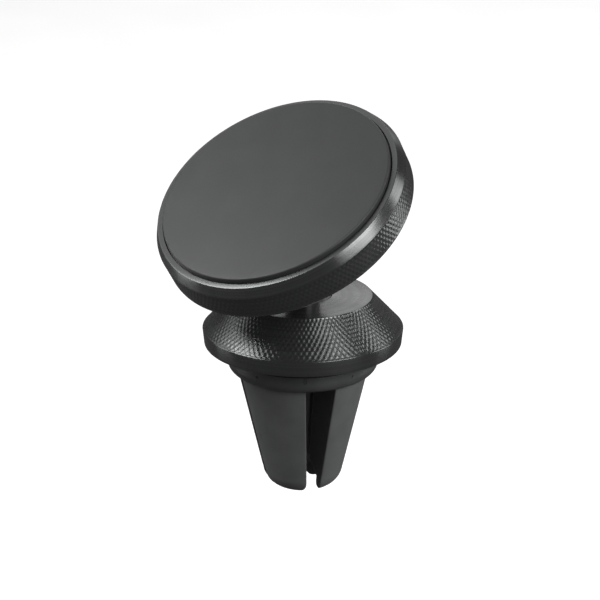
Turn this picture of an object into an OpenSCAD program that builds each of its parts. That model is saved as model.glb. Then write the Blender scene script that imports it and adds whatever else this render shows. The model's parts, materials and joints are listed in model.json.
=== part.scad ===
// Magnetic air-vent phone mount: a tilting magnet head on a ball, a knurled collar and a four-prong clip.
// The origin is on the clip's axis, on the floor of its vent slots.
// +Z runs up the axis, away from the vent.
// The wide slot lies along Y and the narrow slot along X.

/* [Head] */
// Outer radius of the knurled rim
rim_r = 20.5; // [20:0.1:21]
// Radius at the front edge of the smooth band
lip_r = 19.7; // [19.4:0.1:19.8]
// Height of the smooth band, along the head's axis
band_h = 1.58; // [1.2:0.02:2]
// Height of the knurled rim
knurl_h = 4.36; // [3.9:0.02:4.6]
// Distance from the ball's centre to the front lip
lip_w = 12.1; // [12:0.05:12.6]
// Radius of the front pad
pad_r = 18.6; // [18:0.1:18.7]
// How far the pad stands above the lip
pad_proud = 0.74; // [0.5:0.02:1]
// Tilt of the head from the clip's axis at rest, degrees
tilt = 32.9; // [0:0.1:36]
// Direction the head leans in at rest, degrees from +X
lean = -146; // [-180:1:180]

/* [Magnets] */
// Number of disc magnets
magnet_n = 6; // [5:1:6]
// Magnet radius
magnet_r = 4; // [3:0.5:4]
// Magnet thickness
magnet_t = 1.8; // [1.5:0.1:1.8]
// Radius of the circle the magnets sit on
magnet_ring_r = 12.2; // [11.5:0.1:13]

/* [Ball joint] */
// Ball radius
ball_r = 5; // [4.8:0.1:5]
// Height of the ball's centre
ball_z = 20.98; // [20.5:0.02:22]
// Radius of the neck under the ball
neck_r = 2.8; // [2.4:0.1:2.8]
// Outer radius of the socket tube
tube_r = 6.95; // [6.9:0.05:7]

/* [Collar] */
// Largest radius of the collar
collar_r = 16.06; // [15.6:0.02:16.4]
// Radius of the collar's flat top
top_r = 11.05; // [10.8:0.05:11.4]
// Height of the collar's flat top
top_z = 12.48; // [12.3:0.02:12.6]
// Height of the edge between the knurled cone and the smooth band
edge_z = 7.12; // [6.9:0.02:7.3]
// Height of the collar's lower rim
collar_low_z = 4.58; // [4.5:0.02:4.7]

/* [Vent clip] */
// Radius of the flange
flange_r = 12.15; // [12:0.05:12.4]
// Height of the flange's top face
flange_z = 3.92; // [3.8:0.02:4]
// Height of the flange's outer edge, under the groove that parts it from the collar
flange_edge_z = 2.96; // [2.8:0.02:3.2]
// Radius the prongs' cone would have at the origin
cone_r = 10.5; // [10.4:0.05:10.6]
// How much the cone narrows per millimetre of depth
cone_slope = 0.2315; // [0.2:0.0005:0.25]
// Depth of the prong tips below the slot floor
tip_depth = 20.3; // [19:0.1:21]
// Radius of the rounded prong nose
nose_r = 3.4; // [2.5:0.1:4]
// Half-width of the wide slot at its floor, beside the axis
wide_half = 1.77; // [1.6:0.01:2]
// How much the wide slot's half-width shrinks per millimetre of depth
wide_slope = 0.0583; // [0.04:0.0001:0.07]
// How much the wide slot's half-width grows per millimetre outwards from the axis
wide_draft = 0.071; // [0.05:0.001:0.12]
// Half-width of the narrow slot
narrow_half = 0.58; // [0.5:0.01:0.7]
// Thickness of the stiff arm inside each prong
arm_t = 1.2; // [1:0.1:1.3]
// Width of the stiff arm
arm_w = 3.2; // [3:0.1:3.6]

/* [Hidden] */
$fn = 96;
EPS = 0.01;
// Running clearance of a pin in its bearing
run = 0.06;
// Clearance between fixed parts of one body
fit = 0.1;

// Heights along the head's own axis, measured from the ball's centre
back_w = lip_w - band_h - knurl_h;
floor_t = 1;
floor_w = back_w + floor_t;
plate_t = 1;
yoke_t = 0.8;
yoke_w = floor_w + plate_t;
yoke_r = pad_r - 1.1;
carrier_top_w = lip_w - 0.6;
magnet_w = yoke_w + yoke_t;
glue_t = 0.14;
pad_w = carrier_top_w + glue_t;
pad_top_w = lip_w + pad_proud;
groove_r = pad_r + 0.2;
rim_round = 0.35;
boss_ring_r = 11;
boss_ring_t = 1;
boss_slope = 0.6;
knurl_edge = 0.12;

// Socket, along the same axis
tube_bore_r = 6.3;
tube_low_w = -1.6;
tube_lip_t = 0.8;
tube_lip_r = 5.6;
liner_low_w = -1.5;
liner_split_w = 1.6;
plug_t = 1;
spring_t = 0.7;
plug_w = floor_w - plug_t;
spring_w = plug_w - spring_t;
screw_ring_r = 9.4;
screw_r = 0.9;
screw_head_r = 1.8;
screw_head_t = 0.8;

// Stud and clip body
journal_r = 2.5;
thread_r = 2;
stud_low_z = 2.1;
nut_z = 2.3;
nut_t = 1.8;
washer_t = 0.6;
journal_low_z = 5.3;
stud_flange_r = 3.4;
stud_flange_t = 0.85;
core_top_z = top_z - 0.03;
core_boss_r = 4.52;
core_disc_r = 13.12;
core_disc_z = 6;
nut_pocket_r = 4.6;
pocket_floor_z = 1.9;
clip_screw_ring_r = 8.6;
clip_screw_low_z = 2;
clip_screw_r = 1;
clip_screw_head_t = 1.1;
clip_screw_head_r = 1.9;
clip_head_z = core_disc_z - 1.2;
ring_z = 4.85;
ring_t = 0.5;
ring_in_r = 12.5;
ring_out_r = 13.6;
ring_play = 0.07;
seat_z = 7.45;
collar_play = 0.08;
collar_draft = 0.26;
collar_plate_t = 1.4;
collar_inner_r = 10.9;
collar_neck_r = 9.6;
drag_ring_r = 0.7;
drag_ring_path_r = 11.6;

// Prongs and their roots
root_r = 10.3;
root_top_z = 0.7;
root_low_z = -0.6;
root_gap = 0.15;
pocket_z = 1.05;
skirt_r = 10.46;
knuckle_r = 0.9;
flex_r = 6.5;
flex_z = 1.65;
arm_lean = 8.6;
arm_l = 16.5;
corner_r = 0.3;
nose_z = nose_r - tip_depth;
// The tip is cut away from this height up to the slot walls, and rises towards the axis
lead_z = -15.6;
lead_rise = 0.445;
// The slot walls round off below this height
wall_round_z = -17.9;
wall_round = 1.15;
flange_neck_r = 11.3;

// ---- Placement and shared shapes ----

// Puts children in the head's frame: the ball's centre, with +Z out through the pad
module head_frame() {
    translate([0, 0, ball_z]) rotate([0, 0, lean]) rotate([0, tilt, 0]) children();
}

// Puts children built in the +X +Y quarter into prong number i, counted anticlockwise
module quarter(i) {
    mirror([i == 1 || i == 2 ? 1 : 0, 0, 0])
    mirror([0, i >= 2 ? 1 : 0, 0])
    children();
}

// A disc or ring from height a to height b
module ring(outer, inner, a, b) {
    translate([0, 0, a])
    difference() {
        cylinder(h = b - a, r = outer);
        if (inner > 0) translate([0, 0, -1]) cylinder(h = b - a + 2, r = inner);
    }
}

// ---- Head ----

module front_pad() {
    edge = 0.25;
    color("#565858") head_frame() rotate_extrude() {
        translate([0, pad_w]) square([pad_r, pad_top_w - edge - pad_w]);
        translate([0, pad_w]) square([pad_r - edge, pad_top_w - pad_w]);
        translate([pad_r - edge, pad_top_w - edge]) circle(r = edge);
    }
}

module pad_adhesive() {
    inset = 0.5;
    color("#d8d4c8") head_frame() ring(pad_r - inset, 0, carrier_top_w, pad_w);
}

module magnet_spot(i) {
    rotate([0, 0, (i + 0.5) * 360 / magnet_n]) translate([magnet_ring_r, 0, 0]) children();
}

module magnet_carrier() {
    foot_w = 1;
    outer = groove_r - 0.05;
    color("#2b2b2c") head_frame() difference() {
        union() {
            ring(outer, 0, yoke_w, carrier_top_w);
            ring(outer, groove_r - foot_w, floor_w, yoke_w + EPS);
        }
        translate([0, 0, yoke_w - EPS]) cylinder(h = yoke_t + EPS, r = yoke_r + fit);
        for (i = [0:magnet_n - 1])
            magnet_spot(i) translate([0, 0, magnet_w - EPS])
                cylinder(h = magnet_t + EPS, r = magnet_r + fit);
    }
}

module magnet(i) {
    color("silver") head_frame() magnet_spot(i)
        translate([0, 0, magnet_w]) cylinder(h = magnet_t, r = magnet_r);
}

module back_yoke() {
    centre_hole_r = 2.5;
    color("#8d8f92") head_frame() ring(yoke_r, centre_hole_r, yoke_w, magnet_w);
}

module head_shell() {
    color("#222323") head_frame() difference() {
        rotate_extrude() polygon([
            [tube_r + fit, back_w - boss_ring_t],
            [boss_ring_r, back_w - boss_ring_t],
            [boss_ring_r + boss_slope, back_w],
            [rim_r - rim_round, back_w],
            [rim_r - knurl_edge, back_w + rim_round],
            [rim_r, lip_w - band_h - knurl_edge],
            [rim_r - knurl_edge, lip_w - band_h],
            [lip_r, lip_w],
            [groove_r, lip_w],
            [groove_r, floor_w],
            [tube_r + fit, floor_w]
        ]);
        screw_places() translate([0, 0, back_w - boss_ring_t - 1]) cylinder(h = 4, r = screw_r + EPS);
    }
}

module screw_places() {
    for (a = [0:120:240])
        rotate([0, 0, a]) translate([screw_ring_r, 0, 0]) children();
}

module housing_screws() {
    low_w = back_w - boss_ring_t;
    top_w = yoke_w - fit;
    color("silver") head_frame() screw_places() {
        translate([0, 0, low_w]) cylinder(h = top_w - low_w, r = screw_r);
        translate([0, 0, yoke_w - screw_head_t])
            cylinder(h = screw_head_t - fit, r1 = screw_r, r2 = screw_head_r);
    }
}

module socket_housing() {
    plate_r = boss_ring_r + 0.5;
    play = 0.25;
    color("#1f2020") head_frame() difference() {
        union() {
            ring(plate_r, tube_bore_r, floor_w, yoke_w);
            ring(tube_r, tube_bore_r, tube_low_w + tube_lip_t - EPS, floor_w + EPS);
            ring(tube_r, tube_lip_r, tube_low_w, tube_low_w + tube_lip_t);
        }
        screw_places() {
            translate([0, 0, floor_w - 1]) cylinder(h = plate_t + 2, r = screw_r + fit);
            translate([0, 0, yoke_w - screw_head_t])
                cylinder(h = screw_head_t + EPS, r1 = screw_r + play, r2 = screw_head_r + play);
        }
    }
}

module socket_plug() {
    key_hole_r = 1.2;
    color("#3a3a3a") head_frame() ring(tube_bore_r - EPS, key_hole_r, plug_w, floor_w);
}

module wave_spring() {
    outer = 5.8;
    inner = 3.6;
    color("silver") head_frame() ring(outer, inner, spring_w, plug_w);
}

// ---- Ball joint ----

// The ball's own space inside the two halves of the socket
module ball_space() {
    sphere(r = ball_r + run);
}

module socket_liner() {
    shoulder_w = tube_low_w + tube_lip_t + 0.02;
    color("ivory") head_frame() difference() {
        union() {
            ring(tube_bore_r - run, 0, shoulder_w, liner_split_w);
            ring(tube_lip_r - run, 0, liner_low_w, shoulder_w + EPS);
        }
        ball_space();
    }
}

module pressure_cup() {
    color("ivory") head_frame() difference() {
        ring(tube_bore_r - run, 0, liner_split_w + fit, spring_w - 0.02);
        ball_space();
    }
}

module ball_stud() {
    color("silver") {
        translate([0, 0, ball_z]) sphere(r = ball_r);
        translate([0, 0, top_z]) cylinder(h = ball_z - top_z, r = neck_r);
        translate([0, 0, top_z]) cylinder(h = stud_flange_t, r = stud_flange_r);
        translate([0, 0, journal_low_z]) cylinder(h = top_z - journal_low_z + EPS, r = journal_r);
        translate([0, 0, stud_low_z]) cylinder(h = journal_low_z - stud_low_z + EPS, r = thread_r);
    }
}

module stud_nut() {
    corner_radius = 3.9;
    color("silver") translate([0, 0, nut_z]) difference() {
        cylinder(h = nut_t, r = corner_radius, $fn = 6);
        translate([0, 0, -1]) cylinder(h = nut_t + 2, r = thread_r);
    }
}

module lock_washer() {
    outer = 3.6;
    color("#9a9a9a") ring(outer, thread_r, nut_z + nut_t, nut_z + nut_t + washer_t);
}

module thrust_washer() {
    outer = 4.2;
    color("ivory") ring(outer, thread_r, nut_z + nut_t + washer_t, journal_low_z - 0.02);
}

// ---- Collar and clip body ----

module base_collar() {
    bore_r = core_disc_r + collar_play;
    boss_bore_r = core_boss_r + collar_play;
    color("#252626") difference() {
        rotate_extrude() polygon([
            [boss_bore_r, top_z],
            [top_r, top_z],
            [collar_r, edge_z],
            [collar_r - collar_draft, collar_low_z],
            [bore_r, collar_low_z],
            [bore_r, seat_z],
            [collar_inner_r, seat_z],
            [collar_neck_r, top_z - collar_plate_t],
            [boss_bore_r, top_z - collar_plate_t]
        ]);
        ring(ring_out_r + fit, ring_in_r, ring_z - ring_play, ring_z + ring_t + ring_play);
    }
}

module base_core() {
    color("#3a3b3c") difference() {
        union() {
            ring(core_boss_r, 0, flange_z, core_top_z);
            ring(core_disc_r, 0, flange_z, core_disc_z);
        }
        translate([0, 0, flange_z - 1]) cylinder(h = core_top_z, r = journal_r + run);
        translate([0, 0, flange_z - 1]) cylinder(h = journal_low_z - flange_z + 1, r = nut_pocket_r);
        ring(core_disc_r + 1, ring_in_r, ring_z, ring_z + ring_t);
        core_screw_places() {
            translate([0, 0, flange_z - 1]) cylinder(h = core_disc_z, r = clip_screw_r + fit);
            translate([0, 0, clip_head_z]) cylinder(h = core_disc_z, r = clip_screw_head_r + fit);
        }
    }
}

module snap_ring() {
    gap = 2.4;
    color("silver") difference() {
        ring(ring_out_r, ring_in_r, ring_z, ring_z + ring_t);
        translate([0, -gap / 2, ring_z - 1]) cube([ring_out_r + 2, gap, ring_t + 2]);
    }
}

module drag_ring() {
    color("#151515")
    translate([0, 0, core_disc_z + drag_ring_r])
    rotate_extrude() translate([drag_ring_path_r, 0]) circle(r = drag_ring_r, $fn = 48);
}

module core_screw_places() {
    for (a = [0:90:270])
        rotate([0, 0, a]) translate([clip_screw_ring_r, 0, 0]) children();
}

module core_screws() {
    socket_r = 0.9;
    socket_depth = 0.6;
    head_top = clip_head_z + clip_screw_head_t;
    color("silver") core_screw_places() difference() {
        union() {
            translate([0, 0, clip_screw_low_z])
                cylinder(h = clip_head_z - clip_screw_low_z + EPS, r = clip_screw_r);
            translate([0, 0, clip_head_z]) cylinder(h = clip_screw_head_t, r = clip_screw_head_r);
        }
        translate([0, 0, head_top - socket_depth]) cylinder(h = 1, r = socket_r, $fn = 6);
    }
}

// Small index marks cut into the flange's rim: two triangles with a rounded bar between them
module index_marks() {
    mark_span = 37.8;
    triangle_z = 2.1;
    bar_z = 2.4;
    point = 0.28;
    base = 0.24;
    bar_line = 0.12;
    for (s = [-1, 1])
        mark_cut(s * mark_span, triangle_z) polygon([[-point, base], [point, base], [0, -point]]);
    mark_cut(0, bar_z) difference() {
        index_bar(2 * bar_line);
        index_bar(bar_line);
    }
}

// Cuts a flat shape into the flange's rim, at an angle from the middle mark
module mark_cut(angle, z) {
    depth = 0.12;
    mark_mid = -104.7;
    rotate([0, 0, mark_mid + angle]) translate([flange_r - depth, 0, z])
        rotate([90, 0, 90]) linear_extrude(height = 1) children();
}

module index_bar(r) {
    half = 0.24;
    square([2 * r, 2 * half], center = true);
    for (s = [-1, 1]) translate([0, s * half]) circle(r = r, $fn = 24);
}

module clip_flange() {
    bowl_r = 1.7;
    bowl_x = flange_r - bowl_r;
    color("#3c3d3d") difference() {
        rotate_extrude() {
            square([flange_r - bowl_r, flange_z]);
            translate([0, bowl_r]) square([flange_r, flange_z - bowl_r]);
            intersection() {
                translate([bowl_x, bowl_r]) circle(r = bowl_r);
                square([flange_r + 1, flange_z]);
            }
        }
        translate([0, 0, pocket_floor_z]) cylinder(h = flange_z, r = nut_pocket_r);
        ring(flange_r + 1, flange_neck_r, flange_edge_z, flange_z + 1);
        core_screw_places() translate([0, 0, clip_screw_low_z]) cylinder(h = flange_z, r = clip_screw_r);
        for (i = [0:3]) quarter(i) {
            intersection() {
                translate([0, 0, -1]) cylinder(h = pocket_z + 1, r = skirt_r);
                quarter_space(-root_gap);
            }
            knuckle(knuckle_r + fit, arm_w + 3 * fit);
        }
        index_marks();
    }
}

// ---- Prongs ----

// Puts children in the frame of a prong's root: the flex axis along Y, +X outwards
module root_frame() {
    rotate([0, 0, 45]) translate([flex_r, 0, flex_z]) children();
}

// The round root that each prong flexes about
module knuckle(r, l) {
    root_frame() rotate([90, 0, 0]) translate([0, 0, -l / 2]) cylinder(h = l, r = r, $fn = 48);
}

// Outer radius of the prongs at height z: a root cylinder, a cone and a round nose
function nose_centre() = cone_r + cone_slope * nose_z - nose_r * sqrt(1 + pow(cone_slope, 2));
function prong_r(z) = min(root_r, cone_r + cone_slope * z);
function nose_profile(z) = nose_centre() + sqrt(max(0, pow(nose_r, 2) - pow(nose_z - z, 2)));
function outer_r(z) = z < nose_z ? min(prong_r(z), nose_profile(z)) : prong_r(z);
function side_x(z) = wide_half + wide_slope * z;

// The space of one quarter of the clip, with its faces moved in from the slot faces by gap
module quarter_space(gap) {
    size = 60;
    intersection() {
        translate([wide_half + gap, narrow_half, 0])
            rotate([0, 0, -atan(wide_draft)]) rotate([0, atan(wide_slope), 0])
            translate([0, -size / 2, -size / 2]) cube(size);
        translate([-size / 2, narrow_half + gap, -size / 2]) cube(size);
    }
}

// How far a rounding of the given depth has cut in at height z, where it starts at height start
function rounded(z, start, depth) =
    z > start ? 0 : depth * (1 - sqrt(max(0, 1 - pow((start - z) / (start + tip_depth), 2))));

// How far the inner corner is cut back along both slot walls at height z
function corner_cut(z) = z > lead_z ? 0 : (lead_z - z) / lead_rise;

// Points of a smooth corner from a to b, past the corner point between them
function bend(a, corner, b) =
    [for (t = [0:0.25:1]) pow(1 - t, 2) * a + 2 * t * (1 - t) * corner + pow(t, 2) * b];

// One level of a prong: a quarter disc with small corner radii, cut back at its inner corner near the tip
module level(z, height = 0.02) {
    inset = rounded(z, wall_round_z, wall_round);
    x = side_x(z) + inset;
    y = narrow_half + inset;
    cut = min(corner_cut(z), outer_r(z) - x - corner_r);
    far = 30;
    inner = cut > 0
        ? bend([x + wide_draft * cut, y + cut], [x, y], [x + cut, y])
        : [[x, y]];
    translate([0, 0, z]) linear_extrude(height = height)
    offset(r = corner_r, $fn = 16) offset(delta = -corner_r)
    intersection() {
        circle(r = outer_r(z), $fn = 64);
        polygon(concat(inner, [[far, y], [far, far], [x + wide_draft * (far - y), far]]));
    }
}

// The full outer shape of one prong
module prong_body() {
    steps = 7;
    hull() {
        level(root_low_z, root_top_z - root_low_z);
        for (k = [0:steps]) level(lead_z - (tip_depth + lead_z) * sin(90 * k / (steps + 0.3)));
    }
}

// The stiff inner arm, a flat blade that hangs from the knuckle
module arm() {
    root_frame() rotate([0, arm_lean, 0])
        translate([-arm_t / 2, -arm_w / 2, -arm_l]) cube([arm_t, arm_w, arm_l]);
}

module prong_core(i) {
    color("#4a4a4a") quarter(i) {
        arm();
        knuckle(knuckle_r, arm_w);
    }
}

module prong_sleeve(i) {
    color("#3d3e3e") quarter(i) difference() {
        prong_body();
        arm();
    }
}

front_pad();
pad_adhesive();
magnet_carrier();
for (i = [1:magnet_n]) magnet(i - 1);
back_yoke();
head_shell();
socket_housing();
housing_screws();
socket_plug();
wave_spring();
socket_liner();
pressure_cup();
ball_stud();
stud_nut();
lock_washer();
thrust_washer();
base_collar();
base_core();
snap_ring();
drag_ring();
core_screws();
clip_flange();
for (i = [1:4]) prong_core(i - 1);
for (i = [1:4]) prong_sleeve(i - 1);
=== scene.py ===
import bmesh
import bpy
import json
import math
from mathutils import Matrix, Vector


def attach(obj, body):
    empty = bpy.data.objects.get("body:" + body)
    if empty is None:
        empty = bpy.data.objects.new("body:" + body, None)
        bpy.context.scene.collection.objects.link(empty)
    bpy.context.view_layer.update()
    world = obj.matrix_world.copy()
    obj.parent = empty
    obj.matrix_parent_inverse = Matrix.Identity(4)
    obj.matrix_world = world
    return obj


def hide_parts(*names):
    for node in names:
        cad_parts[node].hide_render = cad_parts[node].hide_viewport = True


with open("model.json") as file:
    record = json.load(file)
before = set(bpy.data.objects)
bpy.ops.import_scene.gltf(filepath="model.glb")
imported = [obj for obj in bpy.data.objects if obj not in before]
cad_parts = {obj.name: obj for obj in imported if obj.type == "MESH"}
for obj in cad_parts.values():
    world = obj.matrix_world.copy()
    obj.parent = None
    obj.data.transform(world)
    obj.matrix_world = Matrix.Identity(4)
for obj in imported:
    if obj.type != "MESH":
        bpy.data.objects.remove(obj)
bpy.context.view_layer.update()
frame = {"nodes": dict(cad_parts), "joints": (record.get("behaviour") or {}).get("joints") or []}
nodes = frame["nodes"]
joints = {joint["name"]: joint for joint in frame["joints"]}

# Profiles and outlines are in millimetres, and meshes are made in metres.
MM = 0.001
SAME_POINT = 1e-7
# How much the distance from a turned piece's axis counts in its tool marks, beside the height
RADIUS_SHARE = 0.35

# The head's own axis starts at the ball's centre and runs out through the pad. Lights aim at LIT_POINT.
BALL = Vector(joints["head_spin"]["pos_m"])
HEAD_AXIS = Vector(joints["head_spin"]["axis"])
TILT_AXIS = Vector(joints["head_tilt"]["axis"])
LIT_POINT = Vector((0, 0, 0.01))

# Head: radii, and distances along its axis
LIP_R, LIP_W, BAND_W = 19.7, 12.1, 10.52
RIM_R, BACK_W, RIM_LOW_W, RIM_HIGH_W = 20.5, 6.16, 6.68, 10.44
GROOVE_R, FLOOR_W = 18.8, 7.16
BORE_R, BOSS_R, BOSS_FOOT_R, BOSS_T = 7.05, 11, 11.6, 1
SCREW_RING_R, SCREW_HOLE_R = 9.4, 1.0
PAD_R, PAD_W, PAD_TOP_W = 18.6, 11.64, 12.84

# Collar: radii, and heights above the slot floor
TOP_R, TOP_Z = 11.05, 12.48
EDGE_R, EDGE_Z = 16.06, 7.12
LOW_R, LOW_Z = 15.8, 4.58
CORE_BORE_R, SEAT_R, SEAT_Z = 13.2, 10.9, 7.45
BOSS_BORE_R, PLATE_R, PLATE_Z = 4.6, 9.6, 11.08

# Knurling: cells round each ring, the pitch of their rows, and how deep they are cut. A low CELL_SHAPE makes
# them square, RUN_OUT is the way over which they fade at each end, and OFF_FLANK is how near the flank a
# point has to be to be cut.
RIM_CELLS, CONE_CELLS = 165, 110
RIM_ROWS, CONE_ROWS, COLUMNS_PER_CELL = 38, 66, 6
CELL_PITCH, CELL_DEPTH = 0.68, 0.055
CELL_SHAPE, RUN_OUT, OFF_FLANK = 0.3, 0.12, 0.01
CONE_LOW_GAP, CONE_HIGH_GAP = 0.16, 0.12

# Prongs: heights are below the slot floor. The inner corner is cut back from INNER_CUT_Z down, by 1 mm for
# each INNER_CUT_RISE, and the slot walls round off below WALL_LEAD_Z.
TIP_DEPTH, NOSE_R = 20.14, 3.4
ROOT_TOP_Z, ROOT_LOW_Z, ROOT_R = 0.7, -0.6, 10.3
CONE_R, CONE_SLOPE = 10.5, 0.2315
WIDE_HALF, WIDE_SLOPE, WIDE_DRAFT, NARROW_HALF = 1.77, 0.0583, 0.071, 0.58
NOSE_Z = NOSE_R - TIP_DEPTH
CORNER = 0.3
INNER_CUT_Z, INNER_CUT_RISE = -15.6, 0.445
WALL_LEAD_Z, WALL_LEAD = -17.9, 1.15
CONE_LEVELS_LOW_Z = -15
ARC_STEPS, WALL_STEPS, BEND_STEPS, CUT_STEPS = 28, 10, 5, 8


# ---- Meshes ----

def new_piece(name, verts, faces, material, sharp=35):
    """A closed mesh with smooth faces, and hard edges where they meet at more than that many degrees."""
    mesh = bpy.data.meshes.new(name)
    mesh.from_pydata(verts, [], faces)
    work = bmesh.new()
    work.from_mesh(mesh)
    bmesh.ops.remove_doubles(work, verts=work.verts, dist=SAME_POINT)
    bmesh.ops.recalc_face_normals(work, faces=work.faces)
    work.to_mesh(mesh)
    work.free()
    mesh.polygons.foreach_set("use_smooth", [True] * len(mesh.polygons))
    mesh.set_sharp_from_angle(angle=math.radians(sharp))
    mesh.materials.append(material)
    piece = bpy.data.objects.new(name, mesh)
    bpy.context.collection.objects.link(piece)
    return piece


def turned_profile(corners, steps=4):
    """Points of a closed profile from corners (radius, height, fillet, rows).
    A fillet rounds its corner, and rows divide the straight way to the next corner."""
    points = []
    for i, (r, z, fillet, rows) in enumerate(corners):
        here = Vector((r, z))
        onward = Vector(corners[(i + 1) % len(corners)][:2])
        if fillet:
            back = (Vector(corners[i - 1][:2]) - here).normalized()
            on = (onward - here).normalized()
            half = back.angle(on) / 2
            reach = fillet / math.tan(half)
            centre = here + (back + on).normalized() * (fillet / math.sin(half))
            start, end = here + back * reach - centre, here + on * reach - centre
            points += [centre + start.lerp(end, k / steps).normalized() * fillet for k in range(steps + 1)]
        else:
            points.append(here)
        points += [here.lerp(onward, k / rows) for k in range(1, rows)]
    return points


def lathe(name, profile, columns, material, relief=None, sharp=35):
    """A ring turned about the local Z axis from a closed profile.
    relief(r, z, angle) moves a point by (dr, dz)."""
    rows = len(profile)
    verts = []
    for j in range(columns):
        angle = 2 * math.pi * j / columns
        across, along = math.cos(angle) * MM, math.sin(angle) * MM
        for r, z in profile:
            dr, dz = relief(r, z, angle) if relief else (0, 0)
            verts.append(((r + dr) * across, (r + dr) * along, (z + dz) * MM))
    faces = []
    for j in range(columns):
        here, there = j * rows, (j + 1) % columns * rows
        for i in range(rows):
            up = (i + 1) % rows
            faces.append((here + i, there + i, there + up, here + up))
    return new_piece(name, verts, faces, material, sharp)


def knurl(count, pitch, depth, start, end):
    """The cut of a knurling wheel on the straight flank from start to end, both (radius, height).
    Each row's cells sit between the cells of the row above, and their tops stay on the flank."""
    first = Vector(start)
    flank = Vector(end) - first
    length = flank.length
    flank.normalize()
    inward = Vector((-abs(flank.y), -abs(flank.x)))

    def relief(r, z, angle):
        way = Vector((r, z)) - first
        s = way.dot(flank)
        if not 0 < s < length or (way - flank * s).length > OFF_FLANK:
            return 0, 0
        row = math.cos(math.pi * s / pitch)
        column = math.cos(count * angle)
        cell = row * math.copysign(abs(column) ** CELL_SHAPE, column)
        return inward * (depth * (1 - cell) / 2 * min(1, s / RUN_OUT, (length - s) / RUN_OUT))

    return relief


def drilled(piece, places, radius, low, high):
    """Cuts round holes along the local Z axis, at (x, y) places."""
    cutter = bmesh.new()
    for x, y in places:
        middle = Matrix.Translation(Vector((x, y, (low + high) / 2)) * MM)
        bmesh.ops.create_cone(cutter, cap_ends=True, segments=32, matrix=middle,
                              radius1=radius * MM, radius2=radius * MM, depth=(high - low) * MM)
    mesh = bpy.data.meshes.new("drill")
    cutter.to_mesh(mesh)
    cutter.free()
    drill = bpy.data.objects.new("drill", mesh)
    bpy.context.collection.objects.link(drill)
    holes = piece.modifiers.new("holes", "BOOLEAN")
    holes.operation = "DIFFERENCE"
    holes.solver = "EXACT"
    holes.object = drill
    bpy.context.view_layer.update()
    cut = bpy.data.meshes.new_from_object(piece.evaluated_get(bpy.context.evaluated_depsgraph_get()))
    piece.modifiers.clear()
    piece.data = cut
    bpy.data.objects.remove(drill)


# ---- Node trees ----

def srgb(code):
    """The linear colour of an sRGB hex value."""
    channels = [int(code[i:i + 2], 16) / 255 for i in (1, 3, 5)]
    return tuple(c / 12.92 if c <= 0.04045 else ((c + 0.055) / 1.055) ** 2.4 for c in channels) + (1,)


def add(tree, kind, settings=None, inputs=None):
    """Adds a node, sets its own settings, and sets or links its inputs."""
    node = tree.nodes.new(kind)
    for key, value in (settings or {}).items():
        setattr(node, key, value)
    for key, value in (inputs or {}).items():
        if isinstance(value, bpy.types.NodeSocket):
            tree.links.new(value, node.inputs[key])
        else:
            node.inputs[key].default_value = value
    return node


def start_material(name, surface):
    """A material with one surface shader, whose constant values are set on its own sockets."""
    material = bpy.data.materials.new(name)
    material.use_nodes = True
    tree = material.node_tree
    tree.nodes.clear()
    shader = add(tree, "ShaderNodeBsdfPrincipled", inputs=surface)
    add(tree, "ShaderNodeOutputMaterial", inputs={"Surface": shader.outputs["BSDF"]})
    return material, tree, shader


def speckle(tree, size_mm, detail=2.0):
    """Noise whose grains are about that size, fixed to the piece."""
    place = add(tree, "ShaderNodeTexCoord").outputs["Object"]
    noise = add(tree, "ShaderNodeTexNoise", inputs={
        "Vector": place, "Scale": 1 / (size_mm * MM), "Detail": detail})
    return noise.outputs[0]


def turning(tree, centre, axis):
    """Where a point lies on a turned piece: its distance from the axis, its height, and the way round."""
    place = add(tree, "ShaderNodeTexCoord").outputs["Object"]
    arm = add(tree, "ShaderNodeVectorMath", {"operation": "SUBTRACT"}, {0: place, 1: centre}).outputs[0]
    around = add(tree, "ShaderNodeVectorMath", {"operation": "CROSS_PRODUCT"}, {
        0: tuple(axis), 1: arm}).outputs[0]
    radius = add(tree, "ShaderNodeVectorMath", {"operation": "LENGTH"}, {0: around}).outputs["Value"]
    height = add(tree, "ShaderNodeVectorMath", {"operation": "DOT_PRODUCT"}, {0: arm, 1: tuple(axis)})
    # The radius counts less, so that the knurl's small relief hardly moves the tool marks.
    share = add(tree, "ShaderNodeMath", {"operation": "MULTIPLY"}, {0: radius, 1: RADIUS_SHARE}).outputs[0]
    track = add(tree, "ShaderNodeCombineXYZ", inputs={"X": share, "Y": height.outputs["Value"]}).outputs[0]
    way = add(tree, "ShaderNodeVectorTransform", {
        "vector_type": "NORMAL", "convert_from": "OBJECT", "convert_to": "WORLD"}, {0: around}).outputs[0]
    return track, way


def tool_lines(tree, track, size_mm, detail=3.0):
    """Noise that depends only on the distance from the axis and the height, as a lathe tool's marks do."""
    return add(tree, "ShaderNodeTexNoise", {"noise_dimensions": "2D"}, {
        "Vector": track, "Scale": 1 / (size_mm * MM), "Detail": detail}).outputs[0]


def spread(tree, value, low, high, start=0.35, end=0.65):
    """Maps a noise value to a range, for a roughness or a mix."""
    return add(tree, "ShaderNodeMapRange", inputs={
        "Value": value, "From Min": start, "From Max": end, "To Min": low, "To Max": high}).outputs[0]


def tones(tree, amount, dark, light):
    """A colour between two tones."""
    return add(tree, "ShaderNodeMix", {"data_type": "RGBA"}, {
        0: amount, 6: srgb(dark), 7: srgb(light)}).outputs[2]


def raise_surface(tree, shader, height, depth_mm, strength=1.0):
    """Bump from a height that spans that many millimetres."""
    bump = add(tree, "ShaderNodeBump", inputs={
        "Height": height, "Distance": depth_mm * MM, "Strength": strength})
    tree.links.new(bump.outputs[0], shader.inputs["Normal"])


# ---- Materials ----

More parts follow.
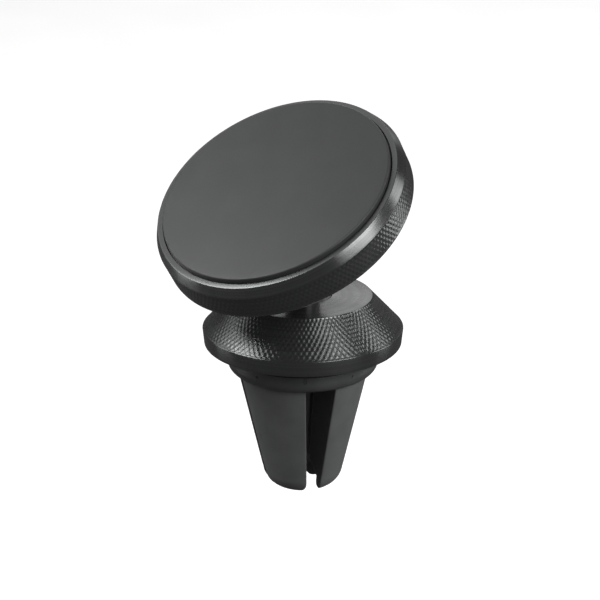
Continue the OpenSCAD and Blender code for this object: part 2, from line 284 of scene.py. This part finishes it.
def anodised_turned_aluminium(name, centre, axis):
    """Black anodised aluminium, turned on a lathe: the dye leaves it near black, and the fine tool marks
    round the axis draw the light out into bright and dark sectors."""
    material, tree, shader = start_material(name, {
        "Metallic": 0.85, "Anisotropic": 0.75, "Anisotropic Rotation": 0.25})
    track, way = turning(tree, centre, axis)
    tree.links.new(way, shader.inputs["Tangent"])
    # Tool marks are about 0.05 mm apart, and are drawn at 0.2 mm so that they show.
    marks = tool_lines(tree, track, 0.2)
    tree.links.new(tones(tree, spread(tree, marks, 0, 1), "#5c5d5d", "#686969"),
                   shader.inputs["Base Color"])
    # The oxide's gloss drifts a little over a few millimetres.
    tree.links.new(spread(tree, speckle(tree, 3.0), 0.26, 0.3), shader.inputs["Roughness"])
    raise_surface(tree, shader, marks, 0.0012)
    return material


def moulded_silicone_pad():
    """Dark grey silicone, compression moulded against a fine blasted steel plate: a dry matte face
    with a faint sheen and a grain that is only just felt."""
    material, tree, shader = start_material("moulded_silicone_pad", {
        "Roughness": 0.5, "IOR": 1.41, "Sheen Weight": 0.12, "Sheen Roughness": 0.4})
    # Blasting grit is about 0.06 mm, drawn at 0.13 mm so that it shows.
    grain = speckle(tree, 0.13)
    cloud = speckle(tree, 6.0)
    colour = tones(tree, spread(tree, cloud, 0, 1), "#303131", "#333434")
    tree.links.new(colour, shader.inputs["Base Color"])
    tree.links.new(spread(tree, grain, 0.44, 0.56), shader.inputs["Roughness"])
    raise_surface(tree, shader, grain, 0.006, 0.6)
    return material


def moulded_silicone_sleeve():
    """Charcoal silicone rubber, injection moulded over each arm: soft and matte, with a fine grain
    and slow changes of tone."""
    material, tree, shader = start_material("moulded_silicone_sleeve", {
        "Roughness": 0.48, "IOR": 1.41, "Sheen Weight": 0.05, "Sheen Roughness": 0.5})
    # The mould's spark-eroded grain is about 0.1 mm, drawn at 0.18 mm so that it shows.
    grain = speckle(tree, 0.18)
    cloud = speckle(tree, 4.0)
    colour = tones(tree, spread(tree, cloud, 0, 1), "#545555", "#5a5b5b")
    tree.links.new(colour, shader.inputs["Base Color"])
    tree.links.new(spread(tree, grain, 0.42, 0.54), shader.inputs["Roughness"])
    raise_surface(tree, shader, grain, 0.008, 0.5)
    return material


def moulded_abs(name, dark, light, rough):
    """Black ABS, injection moulded in a lightly textured tool: an even satin with a fine pebbled grain."""
    material, tree, shader = start_material(name, {"Roughness": rough, "IOR": 1.53})
    # The texture's pebbles are about 0.12 mm, drawn at 0.2 mm so that they show.
    grain = speckle(tree, 0.2)
    colour = tones(tree, spread(tree, speckle(tree, 3.5), 0, 1), dark, light)
    tree.links.new(colour, shader.inputs["Base Color"])
    tree.links.new(spread(tree, grain, rough - 0.06, rough + 0.06), shader.inputs["Roughness"])
    raise_surface(tree, shader, grain, 0.007, 0.5)
    return material


def metal(name, dark, light, rough, mark_mm, centre=(0, 0, 0), axis=(0, 0, 1)):
    """Bare or plated steel with the marks of its turning or stamping."""
    material, tree, shader = start_material(name, {"Metallic": 1.0})
    marks = tool_lines(tree, turning(tree, centre, axis)[0], mark_mm)
    tree.links.new(tones(tree, spread(tree, speckle(tree, 1.2), 0, 1), dark, light),
                   shader.inputs["Base Color"])
    tree.links.new(spread(tree, marks, rough - 0.04, rough + 0.08), shader.inputs["Roughness"])
    raise_surface(tree, shader, marks, 0.002)
    return material


def shade_darkened_steel():
    """Steel, turned and polished, with faint rings; its dark colour is painted shade, making the ball and
    neck stand for the shade under the head.
    """
    return metal("shade_darkened_steel", "#2e2e30", "#3a3a3c", 0.2, 0.15)


def nickel_plate():
    """Nickel plate over a sintered magnet: warm and bright, slightly mottled."""
    return metal("nickel_plate", "#bdb8ae", "#cfcac0", 0.22, 0.3, BALL, HEAD_AXIS)


def zinc_plated_steel():
    """Zinc plated steel, stamped or cold headed: a bluish grey with soft patches."""
    return metal("zinc_plated_steel", "#9a9da0", "#b9bcbf", 0.34, 0.25)


def spring_steel():
    """Oil-tempered spring steel, rolled: a dull brown-grey satin."""
    return metal("spring_steel", "#6a6866", "#858381", 0.38, 0.2)


def machined_acetal():
    """Natural acetal, machined: an ivory plastic with a waxy gloss and faint tool rings."""
    material, tree, shader = start_material("machined_acetal", {
        "IOR": 1.48, "Subsurface Weight": 0.08, "Subsurface Scale": 0.0008})
    marks = tool_lines(tree, turning(tree, BALL, HEAD_AXIS)[0], 0.2)
    tree.links.new(tones(tree, spread(tree, speckle(tree, 2.0), 0, 1), "#dcd8cc", "#e6e3d8"),
                   shader.inputs["Base Color"])
    tree.links.new(spread(tree, marks, 0.3, 0.42), shader.inputs["Roughness"])
    raise_surface(tree, shader, marks, 0.002)
    return material


def nitrile_rubber():
    """Black nitrile, moulded into a ring: oily and soft, with a little bloom."""
    material, tree, shader = start_material("nitrile_rubber", {"Roughness": 0.42, "IOR": 1.52})
    bloom = speckle(tree, 0.8)
    tree.links.new(tones(tree, spread(tree, bloom, 0, 1), "#131313", "#1d1d1c"),
                   shader.inputs["Base Color"])
    tree.links.new(spread(tree, bloom, 0.36, 0.5), shader.inputs["Roughness"])
    raise_surface(tree, shader, speckle(tree, 0.2), 0.004, 0.5)
    return material


def acrylic_tape():
    """Clear acrylic foam tape, die cut: a pale milky edge with fine bubbles."""
    material, tree, shader = start_material("acrylic_tape", {"Roughness": 0.5, "IOR": 1.47})
    bubbles = speckle(tree, 0.15)
    tree.links.new(tones(tree, spread(tree, bubbles, 0, 1), "#c9c4b4", "#d8d4c6"),
                   shader.inputs["Base Color"])
    tree.links.new(spread(tree, bubbles, 0.4, 0.6), shader.inputs["Roughness"])
    raise_surface(tree, shader, bubbles, 0.01, 0.5)
    return material


# ---- Head ----

def on_head(piece, node):
    """Puts a piece made about its own Z axis on the head, in place of its CAD node."""
    across = TILT_AXIS.cross(HEAD_AXIS)
    turn = Matrix((across, TILT_AXIS, HEAD_AXIS)).transposed().to_4x4()
    piece.data.transform(Matrix.Translation(BALL) @ turn)
    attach(piece, "head")
    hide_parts(node)


def head_rim(material):
    """The rim: a knurled side, a smooth front band, a lip and a flat back, turned from one blank."""
    low, high = (RIM_R, RIM_LOW_W), (RIM_R, RIM_HIGH_W)
    profile = turned_profile([
        (*low, 0, RIM_ROWS), (*high, 0, 1), (RIM_R, BAND_W, 0.05, 1), (LIP_R, LIP_W, 0.12, 1),
        (GROOVE_R, LIP_W, 0.08, 1), (GROOVE_R, FLOOR_W, 0, 1), (BOSS_FOOT_R, FLOOR_W, 0, 1),
        (BOSS_FOOT_R, BACK_W, 0, 4), (RIM_R, BACK_W, 0.5, 1)])
    relief = knurl(RIM_CELLS, CELL_PITCH, CELL_DEPTH, low, high)
    on_head(lathe("head_rim", profile, RIM_CELLS * COLUMNS_PER_CELL, material, relief, 60),
            "head_shell")


def head_boss(material):
    """The raised ring on the back, with the three holes of the housing screws."""
    profile = turned_profile([
        (BORE_R, FLOOR_W, 0, 1), (BORE_R, BACK_W - BOSS_T, 0.12, 1), (BOSS_R, BACK_W - BOSS_T, 0.15, 1),
        (BOSS_FOOT_R, BACK_W, 0, 1), (BOSS_FOOT_R, FLOOR_W, 0, 1)])
    piece = lathe("head_boss", profile, 192, material)
    turns = [math.radians(a) for a in (0, 120, 240)]
    places = [(SCREW_RING_R * math.cos(a), SCREW_RING_R * math.sin(a)) for a in turns]
    drilled(piece, places, SCREW_HOLE_R, BACK_W - BOSS_T - 1, FLOOR_W + 1)
    on_head(piece, "head_shell")


def phone_pad(material):
    """The front pad: a flat disc with a small moulded edge."""
    profile = turned_profile([(0, PAD_TOP_W, 0, 12), (PAD_R, PAD_TOP_W, 0.25, 1), (PAD_R, PAD_W, 0, 1),
                              (0, PAD_W, 0, 1)], 6)
    on_head(lathe("phone_pad", profile, 256, material), "front_pad")


# ---- Collar ----

def knurled_collar(material):
    """The turning collar: a flat top, a knurled cone, a smooth band under it and a bored underside."""
    top, edge = Vector((TOP_R, TOP_Z)), Vector((EDGE_R, EDGE_Z))
    flank = (edge - top).normalized()
    low, high = edge - flank * CONE_LOW_GAP, top + flank * CONE_HIGH_GAP
    profile = turned_profile([
        (*low, 0, CONE_ROWS), (*high, 0, 1), (*top, 0.06, 1), (BOSS_BORE_R, TOP_Z, 0.1, 1),
        (BOSS_BORE_R, PLATE_Z, 0, 1), (PLATE_R, PLATE_Z, 0, 1), (SEAT_R, SEAT_Z, 0, 1),
        (CORE_BORE_R, SEAT_Z, 0, 1), (CORE_BORE_R, LOW_Z, 0.1, 1), (LOW_R, LOW_Z, 0.25, 1), (*edge, 0.07, 1)])
    relief = knurl(CONE_CELLS, CELL_PITCH, CELL_DEPTH, low, high)
    piece = lathe("knurled_collar", profile, CONE_CELLS * COLUMNS_PER_CELL, material, relief, 60)
    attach(piece, "collar")
    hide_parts("base_collar")


# ---- Prongs ----

def cone_radius(z):
    """The prongs' outer radius at height z: a root cylinder, a cone and a round nose."""
    cone = min(ROOT_R, CONE_R + CONE_SLOPE * z)
    if z > NOSE_Z:
        return cone
    centre = CONE_R + CONE_SLOPE * NOSE_Z - NOSE_R * math.hypot(1, CONE_SLOPE)
    return min(cone, centre + math.sqrt(max(0, NOSE_R ** 2 - (NOSE_Z - z) ** 2)))


def lead_in(z, start, depth):
    """How far a rounding that starts at height start has cut in at height z."""
    if z > start:
        return 0
    return depth * (1 - math.sqrt(max(0, 1 - ((start - z) / (start + TIP_DEPTH)) ** 2)))


def bend(before, corner, after, steps):
    """A smooth corner between two points."""
    return [before * (1 - t) ** 2 + corner * 2 * t * (1 - t) + after * t ** 2
            for t in (k / steps for k in range(steps + 1))]


def prong_outline(z):
    """One level of the prong on the +X +Y side, as a loop of (x, y) points."""
    inset = lead_in(z, WALL_LEAD_Z, WALL_LEAD)
    inner = Vector((WIDE_HALF + WIDE_SLOPE * z + inset, NARROW_HALF + inset))
    radius = cone_radius(z)
    right = Vector((math.sqrt(radius ** 2 - inner.y ** 2), inner.y))
    # The wide slot's wall leans outwards, so it meets the circle where (a + b t)^2 + t^2 = radius^2.
    a = inner.x - WIDE_DRAFT * inner.y
    b = WIDE_DRAFT
    height = (math.sqrt(a * a * b * b - (1 + b * b) * (a * a - radius ** 2)) - a * b) / (1 + b * b)
    far = Vector((a + b * height, height))
    wall, floor = far - inner, right - inner
    turn = math.acos(min(1, right.dot(far) / radius ** 2))
    corner = min(CORNER, radius * turn / 4, wall.length / 3, floor.length / 3)
    cut = CORNER + max(0, INNER_CUT_Z - z) / INNER_CUT_RISE
    reach = min(cut, wall.length - corner, floor.length - corner)
    first, last = math.atan2(right.y, right.x), math.atan2(far.y, far.x)
    skip = corner / radius
    arc = [Vector((math.cos(t), math.sin(t))) * radius
           for t in (first + skip + (last - first - 2 * skip) * k / ARC_STEPS for k in range(ARC_STEPS + 1))]
    up, along = wall.normalized(), floor.normalized()
    wall_ends = far - up * corner, inner + up * reach
    floor_ends = inner + along * reach, right - along * corner
    loop = arc + bend(arc[-1], far, wall_ends[0], BEND_STEPS)[1:]
    loop += [wall_ends[0].lerp(wall_ends[1], k / WALL_STEPS) for k in range(1, WALL_STEPS)]
    loop += bend(wall_ends[1], inner, floor_ends[0], CUT_STEPS)
    loop += [floor_ends[0].lerp(floor_ends[1], k / WALL_STEPS) for k in range(1, WALL_STEPS)]
    return loop + bend(floor_ends[1], right, arc[0], BEND_STEPS)[:-1]


def prong_levels():
    """Heights of a prong's levels: the root, the long cone, and closer ones round the nose."""
    straight = [ROOT_TOP_Z, ROOT_TOP_Z - 0.06, ROOT_LOW_Z, -1.5] + [-3 - k for k in range(12)]
    top = CONE_LEVELS_LOW_Z
    nose_levels, step = 15, 5.8
    return straight + [top - (TIP_DEPTH + top) * math.sin(math.radians(k * step))
                       for k in range(1, nose_levels + 1)]


def prong_sleeve(number, sign_x, sign_y, material):
    """The soft sleeve of one prong, lofted through its levels."""
    loops = [[Vector((p.x * sign_x * MM, p.y * sign_y * MM, z * MM)) for p in prong_outline(z)]
             for z in prong_levels()]
    size = len(loops[0])
    verts = [p for loop in loops for p in loop]
    last = (len(loops) - 1) * size
    faces = [(k + i, k + (i + 1) % size, k + size + (i + 1) % size, k + size + i)
             for k in range(0, last, size) for i in range(size)]
    faces += [tuple(range(size)), tuple(range(last, last + size))]
    piece = new_piece(f"vent_prong_{number}", verts, faces, material, 50)
    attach(piece, f"prong_{number}")
    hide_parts(f"prong_sleeve_{number}")


# ---- CAD pieces that keep their shape ----

def finish_nodes(finishes):
    """Gives each CAD node that still shows its own material."""
    for material, names in finishes:
        for name in names:
            mesh = nodes[name].data
            mesh.materials.clear()
            mesh.materials.append(material)
            mesh.polygons.foreach_set("material_index", [0] * len(mesh.polygons))


# ---- Studio ----

def camera():
    aim = Vector((-0.05, 1.47, 10.95)) * MM
    azimuth, elevation, distance = math.radians(-16.2), math.radians(20.11), 320 * MM
    back = Vector((math.sin(azimuth) * math.cos(elevation),
                   -math.cos(azimuth) * math.cos(elevation),
                   math.sin(elevation)))
    data = bpy.data.cameras.new("studio_camera")
    data.lens = 120
    data.sensor_width = 36
    data.clip_start = 0.01
    eye = bpy.data.objects.new("studio_camera", data)
    eye.location = aim + back * distance
    eye.rotation_euler = back.to_track_quat("Z", "Y").to_euler()
    bpy.context.collection.objects.link(eye)
    bpy.context.scene.camera = eye


def softbox(name, azimuth, elevation, distance, width, height, radiance):
    """A soft rectangular light, aimed at the object from an azimuth (from +X) and an elevation."""
    a, e = math.radians(azimuth), math.radians(elevation)
    way = Vector((math.cos(a) * math.cos(e), math.sin(a) * math.cos(e), math.sin(e)))
    data = bpy.data.lights.new(name, "AREA")
    data.shape = "RECTANGLE"
    data.size, data.size_y = width, height
    data.energy = radiance * math.pi * width * height
    lamp = bpy.data.objects.new(name, data)
    lamp.location = LIT_POINT + way * distance
    lamp.rotation_euler = way.to_track_quat("Z", "Y").to_euler()
    bpy.context.collection.objects.link(lamp)


def floor():
    """A plain pale floor, well below the prong tips so that no hard shadow falls on it."""
    material, tree, shader = start_material("matt_painted_board", {
        "Roughness": 0.8, "Emission Color": srgb("#ffffff"), "Emission Strength": 0.5})
    tree.links.new(tones(tree, spread(tree, speckle(tree, 40), 0, 1), "#f4f4f4", "#f8f8f8"),
                   shader.inputs["Base Color"])
    size, depth = 3.0, -0.09
    corners = [(-size, -size, depth), (size, -size, depth), (size, size, depth), (-size, size, depth)]
    mesh = bpy.data.meshes.new("floor")
    mesh.from_pydata(corners, [], [(0, 1, 2, 3)])
    mesh.materials.append(material)
    board = bpy.data.objects.new("floor", mesh)
    bpy.context.collection.objects.link(board)
    board.visible_diffuse = False
    board.visible_glossy = False


def studio():
    world = bpy.data.worlds.new("studio")
    world.use_nodes = True
    bpy.context.scene.world = world
    tree = world.node_tree
    tree.nodes.clear()
    seen = add(tree, "ShaderNodeLightPath").outputs["Is Camera Ray"]
    dim = add(tree, "ShaderNodeBackground", inputs={"Color": srgb("#ffffff"), "Strength": 0.08})
    pale = add(tree, "ShaderNodeBackground", inputs={"Color": srgb("#ffffff"), "Strength": 1.0})
    both = add(tree, "ShaderNodeMixShader", inputs={0: seen, 1: dim.outputs[0], 2: pale.outputs[0]})
    add(tree, "ShaderNodeOutputWorld", inputs={"Surface": both.outputs[0]})
    softbox("right_softbox", -64, 28, 0.8, 0.5, 0.5, 7.5)
    softbox("back_softbox", 62, 30, 1.0, 0.7, 0.5, 1.3)
    softbox("high_softbox", 135, 50, 0.9, 0.8, 0.8, 0.8)
    softbox("near_softbox", 182, 46, 0.095, 0.05, 0.05, 8.0)
    softbox("left_softbox", 155, 4, 0.8, 0.3, 0.6, 4.0)
    softbox("edge_softbox", -4, 10, 0.9, 0.3, 0.8, 4.0)
    floor()
    bpy.context.scene.view_settings.view_transform = "Standard"


camera()
studio()

head_aluminium = anodised_turned_aluminium("anodised_turned_aluminium_head", BALL, HEAD_AXIS)
head_rim(head_aluminium)
head_boss(head_aluminium)
phone_pad(moulded_silicone_pad())
knurled_collar(anodised_turned_aluminium("anodised_turned_aluminium_collar", (0, 0, 0), (0, 0, 1)))
sleeve = moulded_silicone_sleeve()
for number, (sign_x, sign_y) in enumerate([(1, 1), (-1, 1), (-1, -1), (1, -1)], 1):
    prong_sleeve(number, sign_x, sign_y, sleeve)

black_abs = moulded_abs("moulded_abs", "#1e1f1f", "#242525", 0.4)
clip_abs = moulded_abs("moulded_clip_abs", "#3e3f3f", "#454646", 0.42)
finish_nodes([
    (acrylic_tape(), ["pad_adhesive"]),
    (black_abs, ["magnet_carrier", "socket_plug"]),
    (clip_abs, ["base_core", "clip_flange"] + [f"prong_core_{i}" for i in range(1, 5)]),
    (head_aluminium, ["socket_housing"]),
    (nickel_plate(), [f"magnet_{i}" for i in range(1, 7)]),
    (zinc_plated_steel(), ["back_yoke", "housing_screws", "core_screws", "stud_nut", "lock_washer"]),
    # The ball stud's dark colour is painted shade from the head above it.
    (shade_darkened_steel(), ["ball_stud"]),
    (spring_steel(), ["wave_spring", "snap_ring"]),
    (machined_acetal(), ["socket_liner", "pressure_cup", "thrust_washer"]),
    (nitrile_rubber(), ["drag_ring"]),
])

bpy.context.view_layer.update()
